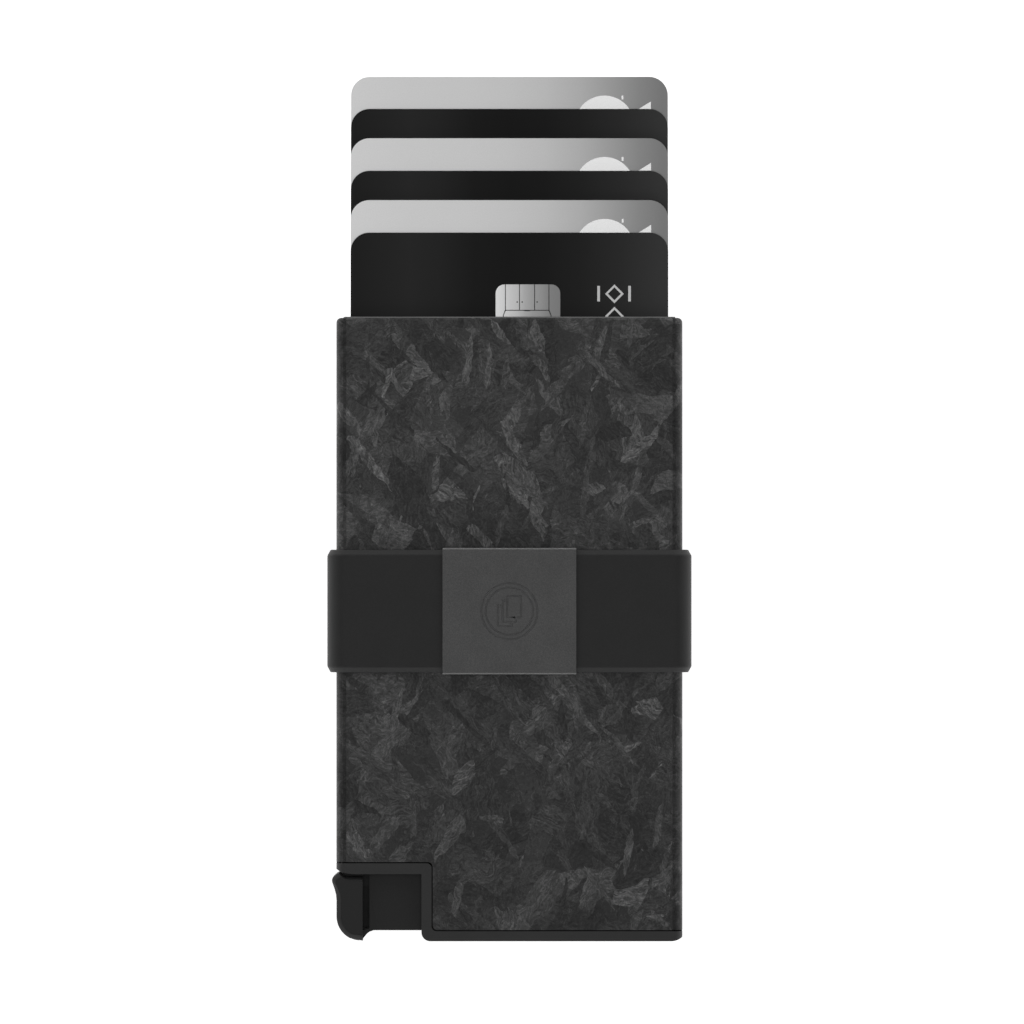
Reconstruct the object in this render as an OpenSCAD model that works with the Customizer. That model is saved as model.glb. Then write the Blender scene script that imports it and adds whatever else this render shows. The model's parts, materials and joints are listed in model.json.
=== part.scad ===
// Minimalist wallet, the card-ejecting cardholder kind.
// A forged-carbon sleeve with an aluminium liner holds six cards. A trigger in the lower left
// corner is a bell crank: pressing its pad swings a stepped arm inside the liner, and the six
// leaves of the arm lift the cards out of the mouth as a fan. An elastic strap with a folded
// metal plate slides on the outside and clamps notes.
// Millimetres. The wallet lies on its back: +X is right, +Y is the way the cards come out and
// +Z is out of the front face. The origin is the centre of the strap's back face.

/* [Sleeve] */
// Outside width of the sleeve, along X
sleeve_width = 58.8; // [57:0.1:64]
// Outside thickness of the sleeve, along Z
sleeve_depth = 8.2; // [7.6:0.1:12]
// Height of the mouth above the origin, along Y
sleeve_top = 49.9; // [48:0.1:56]
// Depth of the lower edge below the origin, along Y
sleeve_bottom = 54.37; // [52:0.01:60]
// Radius of the four long outside edges
sleeve_edge = 1.5; // [0.8:0.1:3]
// Radius of the two upper corners as seen from the front
mouth_corner = 0.85; // [0.3:0.05:2]
// Bevel of the outside edge of the mouth
mouth_bevel = 0.3; // [0.1:0.05:0.6]
// Carbon thickness of the front and back walls
shell_wall = 0.8; // [0.6:0.05:1.2]
// Carbon thickness of the side walls
shell_side = 1.2; // [0.8:0.05:2]
// Liner thickness of the front and back walls
liner_wall = 0.4; // [0.3:0.05:0.8]
// Liner thickness of the side walls
liner_side = 0.8; // [0.5:0.05:1.2]

/* [Corner notch] */
// X of the notch's right side
notch_x = -13.22; // [-20:0.01:-8]
// Y of the notch's upper side
notch_y = -42.83; // [-46:0.01:-38]
// Radius of the notch's two corners
notch_radius = 0.85; // [0.3:0.05:2]

/* [End cap] */
// Height of the bottom bar, along Y
bottom_bar = 1.7; // [1.2:0.05:3]
// Width of the vertical bar beside the trigger, along X
side_bar = 1.72; // [1.2:0.05:3]
// Height of the bar above the trigger, along Y
upper_bar = 1.85; // [1.4:0.05:3]
// Radius of the corner where the vertical bar meets the bottom bar
bar_corner = 1.5; // [0.5:0.05:1.6]
// How far the plug reaches up inside the liner
plug_reach = 11.3; // [8:0.1:11.4]
// Gap between the plug and the liner
plug_gap = 0.05; // [0.02:0.01:0.2]
// Thickness of the plug's bottom and right walls
plug_wall = 1.35; // [0.8:0.05:2.5]
// Number of hollow compartments in the plug
compartments = 3; // [1:1:5]
// Width of the ribs between the compartments
rib_width = 1.2; // [0.8:0.1:2]
// Size of a snap lug along X, along Y and outwards
lug_size = [6, 2, 0.35]; // [0.1:0.05:8]

/* [Trigger] */
// Pivot of the trigger, X and Y
pivot = [-24.6, -43.8]; // [-50:0.05:0]
// Radius of the pivot pin
pin_radius = 0.6; // [0.4:0.05:0.9]
// Running clearance of the trigger on the pin
pin_clearance = 0.05; // [0.03:0.01:0.15]
// Thickness of the cap's rails in front of and behind the trigger web
rail_depth = 1.77; // [1.2:0.01:2.4]
// Gap between the trigger web and a rail
web_gap = 0.14; // [0.05:0.01:0.4]
// Right side of the trigger web
web_right = -13.6; // [-16:0.05:-13]
// Bottom side of the trigger web
web_bottom = -54.28; // [-56:0.01:-50]
// Height of the web above the pivot
web_above = 1.7; // [1.2:0.05:2]
// X of the pad's right side
pad_right = -24.93; // [-26:0.01:-22]
// How far the pad stays behind the cap's front and back faces
pad_inset = 0.2; // [0.05:0.05:1]
// Bevel of the pad's front and back edges
pad_bevel = 0.75; // [0.3:0.05:1]
// Width of the groove between the pad and the web
groove_width = 1.13; // [0.6:0.01:1.5]
// Depth of the groove below the web's face
groove_depth = 1.3; // [0.5:0.1:1.5]

/* [Ejector arm] */
// Height of the arm's top above the pivot
arm_top = 7.6; // [6:0.1:8]
// Length of the leaf for the front card, from the pivot
short_leaf = 17.7; // [12:0.1:25]
// Length of the leaf for the rear card, from the pivot
long_leaf = 51.5; // [40:0.1:51.6]
// Rise of the arm's lower edge, in mm for each mm of length
arm_taper = 0.05; // [0:0.01:0.1]
// Thickness of the lever's tongue inside the arm
tongue_depth = 2; // [1:0.1:3]
// Radius of the two rivets
rivet_radius = 0.7; // [0.4:0.05:1]
// Distance of the two rivets from the pivot, along X
rivet_x = [5, 10.6]; // [3:0.1:12]

/* [Return spring] */
// Wire radius of the torsion spring
wire_radius = 0.24; // [0.15:0.01:0.3]
// Mean radius of its coil
coil_radius = 2; // [1.8:0.05:2.4]
// Turns of the coil
coil_turns = 2.25; // [1.25:1:3.25]
// Rise of the coil for each turn
coil_pitch = 0.52; // [0.4:0.01:0.8]

/* [Cards] */
// Width of a card, along X
card_width = 53.98; // [53.9:0.01:54.1]
// Length of a card, along Y
card_length = 85.6; // [85.4:0.01:85.8]
// Thickness of a card
card_thickness = 0.76; // [0.68:0.01:0.84]
// Corner radius of a card
card_corner = 3.18; // [2.88:0.01:3.48]
// Distance from one card to the next, along Z
card_pitch = 0.84; // [0.78:0.01:1]
// Height of card 1, the front one, above the mouth
raise_1 = 14.4; // [0:0.01:50]
// Height of card 2 above the mouth
raise_2 = 19.96; // [0:0.01:50]
// Height of card 3 above the mouth
raise_3 = 24.97; // [0:0.01:50]
// Height of card 4 above the mouth
raise_4 = 30.55; // [0:0.01:50]
// Height of card 5 above the mouth
raise_5 = 35.57; // [0:0.01:50]
// Height of card 6, the rear one, above the mouth
raise_6 = 41.08; // [0:0.01:50]
// Size of a contact chip along X and along Y
chip_size = [11, 11.9]; // [8:0.1:13]
// Middle of the chip, to the right of the card's middle
chip_x = 3.15; // [0:0.05:5]
// Distance from the card's top edge to the chip
chip_drop = 8.8; // [8:0.1:12]
// Thickness of the chip in its recess
chip_depth = 0.2; // [0.1:0.01:0.3]

/* [Felt] */
// Thickness of a felt strip
felt_depth = 0.5; // [0.3:0.05:0.6]
// Width of a felt strip
felt_width = 6; // [3:0.5:10]
// Distance of each strip's middle from the wallet's middle
felt_x = 19; // [12:0.5:23]
// Y of the strips' lower and upper ends
felt_span = [-32, 46]; // [-34:1:48]

/* [Strap] */
// Width of the strap, along Y
strap_width = 20.8; // [16:0.1:26]
// Thickness of the strap
strap_depth = 1.5; // [1:0.05:2]
// Gap between the strap and the sleeve
strap_gap = 0.05; // [0.02:0.01:0.2]
// Width of the bevel along both edges
bevel_run = 1; // [0.5:0.05:2]
// Drop of the bevel along both edges
bevel_drop = 0.55; // [0.3:0.05:0.8]

/* [Strap plate] */
// Width of the plate, along X
plate_width = 22.7; // [18:0.1:28]
// Thickness of the plate's front sheet
plate_sheet = 0.45; // [0.3:0.05:0.6]
// Thickness of the lips folded round the strap's edges
plate_lip = 0.35; // [0.25:0.05:0.5]
// Outside radius of the folds
fold_radius = 0.7; // [0.4:0.05:1]
// How far the hooks reach under the strap
hook_reach = 1.5; // [0.8:0.1:3]
// Radius of the engraved ring
emblem_radius = 4.9; // [3:0.1:6]
// Depth of the engraving
emblem_depth = 0.12; // [0.05:0.01:0.2]

/* [Hidden] */
$fn = 64;

// Cuts reach this far past the faces they pass through
past = 0.5;

// Levels along Z
sleeve_back = strap_depth + strap_gap;
sleeve_front = sleeve_back + sleeve_depth;
sleeve_mid = (sleeve_back + sleeve_front) / 2;
strap_front = sleeve_front + strap_gap + strap_depth;
plate_front = strap_front + plate_sheet;

// The liner's outside and the space inside it
half_width = sleeve_width / 2;
liner_width = sleeve_width - 2 * shell_side;
liner_depth = sleeve_depth - 2 * shell_wall;
liner_edge = 0.6;
space_width = liner_width - 2 * liner_side;
space_depth = liner_depth - 2 * liner_wall;
space_edge = 0.4;
space_back = sleeve_mid - space_depth / 2;

// The end cap and the slot in its rails
cap_bottom = -sleeve_bottom - bottom_bar;
frame_x = notch_x - side_bar;
frame_y = notch_y - upper_bar;
slot_back = sleeve_back + rail_depth;
slot_front = sleeve_front - rail_depth;
slot_depth = slot_front - slot_back;
slot_left = -half_width + 1.2;
sweep_radius = 15.5;
slot_floor = -sleeve_bottom - 0.05;
lug_x = [-4, 18];
lug_y = -48;
plug_overlap = 0.3;
plug_first_hollow = -8.6;

// The trigger
web_back = slot_back + web_gap;
web_front = slot_front - web_gap;
pad_back = sleeve_back + pad_inset;
pad_front = sleeve_front - pad_inset;
hub_radius = 1.55;
relief_radius = 2.6;
relief_top = web_back + 1.71;
groove_run_out = 0.5;
pin_end = sleeve_front - 0.6;
pad_round = [-25.26, -51.9];
pad_round_radius = 4.12;
pad_left = pad_round[0] - pad_round_radius;
pad_top = -45.1;
pad_heart = [-26.6, -48.4];
pad_tip = [-25.02, -56];
nose_points = [
    [-27.8, -45.05], [-28.25, -44.88], [-28.6, -44.58], [-28.95, -44.46],
    [-29.3, -44.63], [-29.63, -44.88], [-29.9, -45.15], [-30.1, -45.45], [-30.17, -45.74],
    [-30.12, -46.08], [-29.95, -46.55], [-29.71, -47.25], [-29.46, -48.19]
];

// The return spring's coil, and its two ends that are bent into holes
spring_low = slot_back + wire_radius + 0.1;
spring_high = spring_low + coil_turns * coil_pitch;
spring_start = 180;
spring_end = spring_start + 360 * coil_turns;
spring_foot = 0.9;

// The cards and the leaves of the arm
raises = [raise_1, raise_2, raise_3, raise_4, raise_5, raise_6];
card_count = len(raises);
stack_back = space_back + felt_depth + 0.1;
leaf_play = (card_pitch - card_thickness) / 2;
leaf_step = (long_leaf - short_leaf) / (card_count - 1);
arm_root = 2.6;
arm_shoulder = [5.8, 5.2];
tongue_reach = 12.4;
tongue_inset = 0.2;
rivet_head = [1.15, 0.35];
rivet_y = pivot[1] + 3.4;
chip_corner = 1.5;

// The strap
strap_outer_width = sleeve_width + 2 * (strap_gap + strap_depth);
strap_outer_depth = strap_front;
strap_inner_edge = sleeve_edge + strap_gap;
strap_outer_edge = strap_inner_edge + strap_depth;

black = "#26272a";
silver = "#c3c4c6";

function card_back(i) = stack_back + (card_count - i) * card_pitch;
function card_top(i) = sleeve_top + raises[i - 1];
function leaf_length(i) = short_leaf + (i - 1) * leaf_step;
function arm_back() = card_back(card_count) - leaf_play;
function arm_front() = card_back(1) + card_thickness + leaf_play;
function arc(c, r, from, to, steps = 12) =
    [for (s = [0 : steps]) let (a = from + (to - from) * s / steps) c + r * [cos(a), sin(a)]];

// ---------- shared shapes ----------

// Rectangle with round corners, centred, in 2D
module rounded(w, h, r) {
    square([w - 2 * r, h], center = true);
    square([w, h - 2 * r], center = true);
    for (sx = [-1, 1], sy = [-1, 1])
        translate([sx * (w / 2 - r), sy * (h / 2 - r)])
            circle(r = r);
}

// Extrudes a cross-section drawn in X and Z from y_low to y_high
module along_y(y_low, y_high) {
    translate([0, y_high, sleeve_mid])
        rotate([90, 0, 0])
            linear_extrude(height = y_high - y_low)
                children();
}

// Extrudes an outline drawn in X and Y from z_low to z_high
module along_z(z_low, z_high) {
    translate([0, 0, z_low])
        linear_extrude(height = z_high - z_low)
            children();
}

// Block with round long edges whose ends are bevelled by run and drop
module bevelled_block(w, d, r, y_low, y_high, run_low, run_high, drop) {
    drop_low = run_low > 0 ? drop : 0;
    drop_high = run_high > 0 ? drop : 0;
    flat = [y_low + run_low, y_high - run_high];
    translate([0, 0, sleeve_mid]) {
        rotate([90, 0, 90])
            translate([0, 0, -w / 2 + r])
                linear_extrude(height = w - 2 * r)
                    polygon([
                        [y_low, drop_low - d / 2], [flat[0], -d / 2],
                        [flat[1], -d / 2], [y_high, drop_high - d / 2],
                        [y_high, d / 2 - drop_high], [flat[1], d / 2],
                        [flat[0], d / 2], [y_low, d / 2 - drop_low]
                    ]);
        translate([0, 0, -d / 2 + r])
            linear_extrude(height = d - 2 * r)
                polygon([
                    [drop_low - w / 2, y_low], [w / 2 - drop_low, y_low],
                    [w / 2, flat[0]], [w / 2, flat[1]],
                    [w / 2 - drop_high, y_high], [drop_high - w / 2, y_high],
                    [-w / 2, flat[1]], [-w / 2, flat[0]]
                ]);
        for (sx = [-1, 1], sz = [-1, 1])
            translate([sx * (w / 2 - r), 0, sz * (d / 2 - r)])
                rotate([-90, 0, 0])
                    rotate_extrude()
                        polygon([
                            [0, y_low], [r - drop_low, y_low], [r, flat[0]],
                            [r, flat[1]], [r - drop_high, y_high], [0, y_high]
                        ]);
    }
}

// Square corner left over outside a quarter circle that is centred at the origin
module spandrel(r) {
    difference() {
        square([r + past, r + past]);
        circle(r = r);
    }
}

// Outline of the notch: everything cut from the sleeve's lower left corner
module notch_outline() {
    low = -sleeve_bottom - 3;
    difference() {
        translate([-half_width - past, low])
            square([notch_x + half_width + past, notch_y - low]);
        translate([notch_x - notch_radius, notch_y - notch_radius])
            spandrel(notch_radius);
    }
    translate([notch_x, -sleeve_bottom])
        difference() {
            translate([-past, -past])
                square(notch_radius + past);
            translate([notch_radius, notch_radius])
                circle(r = notch_radius);
        }
}

// Removes the notch and rounds the mouth's corners
module sleeve_cuts() {
    along_z(-past, strap_front)
        notch_outline();
    for (side = [-1, 1])
        scale([side, 1, 1])
            translate([half_width - mouth_corner, sleeve_top - mouth_corner, 0])
                along_z(-past, strap_front)
                    spandrel(mouth_corner);
}

// ---------- sleeve ----------

module carbon_shell() {
    color("#303133")
        difference() {
            bevelled_block(
                sleeve_width, sleeve_depth, sleeve_edge,
                -sleeve_bottom, sleeve_top, 0, mouth_bevel, mouth_bevel);
            along_y(-sleeve_bottom - past, sleeve_top + past)
                rounded(liner_width, liner_depth, liner_edge);
            sleeve_cuts();
        }
}

module aluminium_liner() {
    color("#8d9094")
        difference() {
            along_y(-sleeve_bottom, sleeve_top)
                rounded(liner_width, liner_depth, liner_edge);
            along_y(-sleeve_bottom - past, sleeve_top + past)
                rounded(space_width, space_depth, space_edge);
            sleeve_cuts();
            snap_lugs(plug_gap);
        }
}

module felt_strip(side) {
    color("#4a4b50")
        translate([side * felt_x - felt_width / 2, felt_span[0], space_back])
            cube([felt_width, felt_span[1] - felt_span[0], felt_depth]);
}

module felt_strip_left() felt_strip(-1);

module felt_strip_right() felt_strip(1);

// ---------- end cap ----------

// Four lugs on the plug; the liner's windows are the same shape grown by play
module snap_lugs(play = 0) {
    reach = lug_size[2] + plug_gap;
    for (x = lug_x, z = [space_back - lug_size[2], space_back + space_depth - plug_gap])
        translate([x - play, lug_y - play, z - play])
            cube([lug_size[0] + 2 * play, lug_size[1] + 2 * play, reach + 2 * play]);
}

// The three bars of the cap as seen from the front
module bar_outline() {
    corner_run = 2.95;
    corner_x = half_width - 1.93;
    difference() {
        intersection() {
            union() {
                notch_outline();
                translate([-half_width, cap_bottom])
                    square([sleeve_width, bottom_bar]);
            }
            translate([-half_width, cap_bottom])
                square([sleeve_width, notch_y - cap_bottom]);
        }
        translate([-half_width - past, cap_bottom - past])
            square([frame_x + half_width + past, frame_y - cap_bottom + past]);
        translate([frame_x + bar_corner, cap_bottom + bar_corner])
            rotate(180)
                spandrel(bar_corner);
        translate([corner_x, cap_bottom + corner_run])
            rotate(-90)
                spandrel(corner_run);
        polygon([
            [-half_width - past, notch_y - 0.5], [-half_width, notch_y - 0.98],
            [-28.66, notch_y - 1.49], [-27.55, notch_y - 1.75],
            [-26.4, frame_y], [-26.4, frame_y - past], [-half_width - past, frame_y - past]
        ]);
    }
}

// The plug that fills the lower end of the liner
module plug() {
    intersection() {
        along_y(-sleeve_bottom - plug_overlap, plug_reach - sleeve_bottom)
            rounded(space_width - 2 * plug_gap, space_depth - 2 * plug_gap, space_edge - plug_gap);
        translate([notch_x - 0.05, -sleeve_bottom - plug_overlap, 0])
            cube([sleeve_width, plug_reach + plug_overlap, strap_front]);
    }
}

// The hollow swept by the web, inside the rails
module sweep_space() {
    intersection() {
        translate([pivot[0], pivot[1], slot_back])
            cylinder(r = sweep_radius, h = slot_depth);
        translate([slot_left, slot_floor, 0])
            cube([sleeve_width, sleeve_bottom, strap_front]);
    }
}

module end_cap() {
    first = plug_first_hollow;
    last = space_width / 2 - plug_gap - plug_wall;
    step = (last - first + rib_width) / compartments;
    color(black)
        difference() {
            union() {
                intersection() {
                    along_y(cap_bottom, notch_y)
                        rounded(sleeve_width, sleeve_depth, sleeve_edge);
                    along_z(-past, strap_front)
                        bar_outline();
                }
                plug();
                snap_lugs();
            }
            sweep_space();
            for (i = [0 : compartments - 1])
                translate([first + i * step, plug_wall - sleeve_bottom, slot_back])
                    cube([step - rib_width, plug_reach, slot_depth]);
            translate([pivot[0], pivot[1], sleeve_back - past])
                cylinder(r = pin_radius, h = pin_end - sleeve_back + past);
            spring_hole(spring_start, slot_back - spring_foot, slot_back + past);
        }
}

module pivot_pin() {
    color(silver)
        translate([pivot[0], pivot[1], sleeve_back + 0.1])
            cylinder(r = pin_radius, h = pin_end - sleeve_back - 0.1);
}

// ---------- trigger ----------

// Thumb pad as seen from the front; inset shrinks its free sides
module pad_outline(inset = 0) {
    r = pad_round_radius - inset;
    polygon(concat(
        [[pad_right, pad_top - inset]],
        [for (p = nose_points) p + inset * (pad_heart - p) / norm(pad_heart - p)],
        [[pad_left + inset, -49.21]],
        arc(pad_round, r, 180, 266, 16),
        [[pad_right, pad_tip[1] + 0.25 + inset]]
    ));
}

// Web, hub and the back of the pad's tip, as seen from the front
module web_outline() {
    top = pivot[1] + web_above;
    polygon([
        [-25.6, -46], [-25.6, pad_tip[1] + 0.2], [pad_right, pad_tip[1] + 0.25],
        [-24.59, -55.32], [-24.2, -54.86], [-23.77, -54.52], [-23.08, web_bottom],
        [web_right - 0.6, web_bottom], [web_right, web_bottom + 0.6],
        [web_right, top], [pivot[0] - 0.9, top], [pivot[0] - 1.7, pivot[1] + 0.6],
        [-28, pivot[1] - 0.65], [-28.6, pivot[1] - 0.8], [-28.6, -46]
    ]);
}

// Tongue that goes into the arm's root, relative to the pivot
module tongue_outline() {
    polygon([
        [-0.3, web_above - tongue_inset], [2.4, arm_shoulder[1] - tongue_inset],
        [tongue_reach, arm_shoulder[1] - tongue_inset], [tongue_reach, web_above - tongue_inset]
    ]);
}

module trigger_lever() {
    middle = sleeve_mid - tongue_depth / 2;
    color(black)
        difference() {
            union() {
                along_z(web_back, web_front)
                    web_outline();
                translate([pivot[0], pivot[1], 0])
                    along_z(middle, middle + tongue_depth)
                        tongue_outline();
                along_z(pad_back + pad_bevel, pad_front - pad_bevel)
                    pad_outline();
                for (layer = [0 : 2]) {
                    inset = pad_bevel * (layer + 1) / 3;
                    along_z(pad_back + pad_bevel - inset, pad_front - pad_bevel + inset)
                        pad_outline(inset);
                }
            }
            along_z(web_front - groove_depth, strap_front)
                groove_outline(pad_top + groove_run_out);
            along_z(0, web_back + groove_depth)
                groove_outline(pivot[1] - relief_radius - groove_run_out);
            difference() {
                translate([pivot[0], pivot[1], web_back - past])
                    cylinder(r = relief_radius, h = relief_top - web_back + past);
                translate([pivot[0], pivot[1], web_back])
                    cylinder(r = hub_radius, h = relief_top);
            }
            translate([pivot[0], pivot[1], 0])
                cylinder(r = pin_radius + pin_clearance, h = strap_front);
            spring_hole(spring_end, relief_top - past, relief_top + spring_foot);
            for (x = rivet_x)
                translate([pivot[0] + x, rivet_y, 0])
                    cylinder(r = rivet_radius, h = strap_front);
        }
}

// Groove between the pad and the web, from its upper end at y_high
module groove_outline(y_high) {
    right = pad_right + groove_width;
    polygon([
        [pad_right, y_high], [right, y_high], [right, web_bottom + 0.33],
        [pad_right, web_bottom - 0.02]
    ]);
}

// ---------- ejector arm ----------

// One leaf, relative to the pivot
module leaf_outline(reach) {
    polygon([
        [arm_root, web_above], [reach, web_above + (reach - arm_root) * arm_taper],
        [reach, arm_top], [arm_shoulder[0], arm_top], [arm_root, arm_shoulder[1]]
    ]);
}

module ejector_arm() {
    color("#55575b")
        difference() {
            translate([pivot[0], pivot[1], 0])
                for (i = [1 : card_count])
                    along_z(card_back(i) - leaf_play, card_back(i) + card_thickness + leaf_play)
                        leaf_outline(leaf_length(i));
            translate([pivot[0], pivot[1] - past, sleeve_mid - tongue_depth / 2])
                cube([tongue_reach + 0.1, arm_shoulder[1] + past, tongue_depth]);
            for (x = rivet_x)
                translate([pivot[0] + x, rivet_y, 0])
                    rivet_shape();
        }
}

// Rivet with a flush head at each end
module rivet_shape() {
    length = arm_front() - arm_back();
    translate([0, 0, arm_back()]) {
        cylinder(r = rivet_radius, h = length);
        for (z = [0, length - rivet_head[1]])
            translate([0, 0, z])
                cylinder(r = rivet_head[0], h = rivet_head[1]);
    }
}

module lever_rivet(x) {
    color(silver)
        translate([pivot[0] + x, rivet_y, 0])
            rivet_shape();
}

module lever_rivet_inner() lever_rivet(rivet_x[0]);

module lever_rivet_outer() lever_rivet(rivet_x[1]);

// ---------- return spring ----------

// Hole at the coil's radius for an end of the spring
module spring_hole(angle, z_low, z_high) {
    translate([pivot[0], pivot[1], z_low])
        rotate(angle)
            translate([coil_radius, 0, 0])
                cylinder(r = wire_radius + 0.06, h = z_high - z_low);
}

// A step of the wire is [angle round the pin, height, lean of its direction towards Z]
module return_spring() {
    sides = 8;
    steps = ceil(coil_turns * 20);
    bend = 0.3;
    foot_low = slot_back - spring_foot + 0.1;
    foot_high = relief_top + spring_foot - 0.1;
    path = concat(
        [[spring_start, foot_low, 90], [spring_start, spring_low - bend, 90]],
        [
            for (s = [0 : steps])
                let (t = s / steps)
                [
                    spring_start + (spring_end - spring_start) * t,
                    spring_low + (spring_high - spring_low) * t, 0
                ]
        ],
        [[spring_end, spring_high + bend, 90], [spring_end, foot_high, 90]]
    );
    last = len(path) - 1;
    points = [
        for (p = path, k = [0 : sides - 1])
            let (
                a = 360 * k / sides,
                out = coil_radius + wire_radius * cos(a),
                up = wire_radius * sin(a)
            )
            [
                out * cos(p[0]) + up * sin(p[2]) * sin(p[0]),
                out * sin(p[0]) - up * sin(p[2]) * cos(p[0]),
                p[1] + up * cos(p[2])
            ]
    ];
    walls = [
        for (i = [0 : last - 1], k = [0 : sides - 1])
            let (n = (k + 1) % sides)
            [i * sides + k, i * sides + n, (i + 1) * sides + n, (i + 1) * sides + k]
    ];
    ends = [
        [for (k = [0 : sides - 1]) sides - 1 - k],
        [for (k = [0 : sides - 1]) last * sides + k]
    ];
    color(silver)
        translate([pivot[0], pivot[1], 0])
            polyhedron(points = points, faces = concat(walls, ends));
}

// ---------- strap ----------

// Recess under the strap's front run for one hook of the plate
module hook_recess(side) {
    width = plate_width + 0.2;
    low = side > 0 ? strap_width / 2 - hook_reach : -strap_width / 2 - past;
    translate([-width / 2, low, sleeve_front])
        cube([width, hook_reach + past, strap_gap + plate_lip + 0.1]);
}

module elastic_strap() {
    color("#2c2d30")
        difference() {
            bevelled_block(
                strap_outer_width, strap_outer_depth, strap_outer_edge,
                -strap_width / 2, strap_width / 2, bevel_run, bevel_run, bevel_drop);
            along_y(-strap_width / 2 - past, strap_width / 2 + past)
                rounded(
                    sleeve_width + 2 * strap_gap, sleeve_depth + 2 * strap_gap,
                    strap_inner_edge);
            for (side = [-1, 1])
                hook_recess(side);
        }
}

// Right half of the folded sheet in Y and Z, from its inside middle to its outside middle
function folded_half() =
    let (
        outside = strap_width / 2 + plate_lip,
        hook_back = sleeve_front + 2 * strap_gap,
        hook_front = hook_back + plate_lip,
        hook_end = strap_width / 2 - hook_reach + 0.2
    )
    concat(
        [
            [strap_width / 2 - 0.3, strap_front], [strap_width / 2, strap_front - 0.3],
            [strap_width / 2, hook_front], [hook_end, hook_front], [hook_end, hook_back],
            [outside, hook_back]
        ],
        arc([outside - fold_radius, plate_front - fold_radius], fold_radius, 0, 90, 8)
    );

// Front sheet, folds, lips and hooks
module folded_profile() {
    half = folded_half();
    last = len(half) - 1;
    polygon(concat(half, [for (i = [last : -1 : 0]) [-half[i][0], half[i][1]]]));
}

// Emblem: a double ring with a fan of three cards in it
module emblem() {
    line = 0.28;
    ring_step = 0.75;
    card = [2.6, 3.9];
    fan_step = [0.8, 0.75];
    translate([0, 0, plate_front - emblem_depth]) {
        for (r = [emblem_radius, emblem_radius - ring_step])
            difference() {
                cylinder(r = r, h = past);
                cylinder(r = r - line, h = past);
            }
        for (i = [0 : 2])
            translate([fan_step[0] * (i - 1), fan_step[1] * (i - 1), 0])
                difference() {
                    translate([-card[0] / 2, -card[1] / 2, 0])
                        cube([card[0], card[1], past]);
                    translate([line - card[0] / 2, line - card[1] / 2, -past])
                        cube([card[0] - 2 * line, card[1] - 2 * line, 3 * past]);
                    if (i < 2)
                        translate([fan_step[0] - card[0] / 2, fan_step[1] - card[1] / 2, -past])
                            cube([card[0], card[1], 3 * past]);
                }
    }
}

module strap_plate() {
    color("#515256")
        difference() {
            translate([-plate_width / 2, 0, 0])
                rotate([90, 0, 90])
                    linear_extrude(height = plate_width)
                        folded_profile();
            emblem();
        }
}

// ---------- cards ----------

// Places something drawn from a card's top middle, on the card's back face
module at_card(i) {
    translate([0, card_top(i), card_back(i)])
        children();
}

// Outline of the contact chip
module chip_outline() {
    translate([chip_x, -chip_drop - chip_size[1] / 2])
        rounded(chip_size[0], chip_size[1], chip_corner);
}

module card(i) {
    color(i % 2 == 1 ? black : silver)
        at_card(i)
            difference() {
                translate([0, -card_length / 2, 0])
                    linear_extrude(height = card_thickness)
                        rounded(card_width, card_length, card_corner);
                translate([0, 0, card_thickness - chip_depth])
                    linear_extrude(height = past)
                        chip_outline();
            }
}

module chip(i) {
    groove = [0.15, 0.05];
    band = 4.2;
    lines = [-3.8, -1.3, 1.3, 3.8];
    color("#b9b9b4")
        at_card(i)
            translate([0, 0, card_thickness - chip_depth])
                difference() {
                    linear_extrude(height = chip_depth)
                        chip_outline();
                    for (x = lines)
                        translate([chip_x + x, -chip_drop - band, chip_depth - groove[1]])
                            cube([groove[0], band + past, past]);
                    for (y = [-band, groove[0] - chip_size[1] + band])
                        translate([0, y - chip_drop, chip_depth - groove[1]])
                            cube([chip_size[0], groove[0], past]);
                }
}

module card_1() card(1);

module card_2() card(2);

module card_3() card(3);

module card_4() card(4);

module card_5() card(5);

module card_6() card(6);

module chip_1() chip(1);

module chip_2() chip(2);

module chip_3() chip(3);

module chip_4() chip(4);

module chip_5() chip(5);

module chip_6() chip(6);

// ---------- assembly ----------

carbon_shell();
aluminium_liner();
end_cap();
pivot_pin();
return_spring();
felt_strip_left();
felt_strip_right();
trigger_lever();
ejector_arm();
lever_rivet_inner();
lever_rivet_outer();
elastic_strap();
strap_plate();
card_1();
card_2();
card_3();
card_4();
card_5();
card_6();
chip_1();
chip_2();
chip_3();
chip_4();
chip_5();
chip_6();
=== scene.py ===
"""Visual model of the minimalist wallet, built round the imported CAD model.

Metres, in the CAD's frame: the wallet lies on its back, +Y is the way the cards come out
and +Z is out of the front face. Lengths below are in millimetres until they meet Blender.
"""
import json
import math

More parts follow.
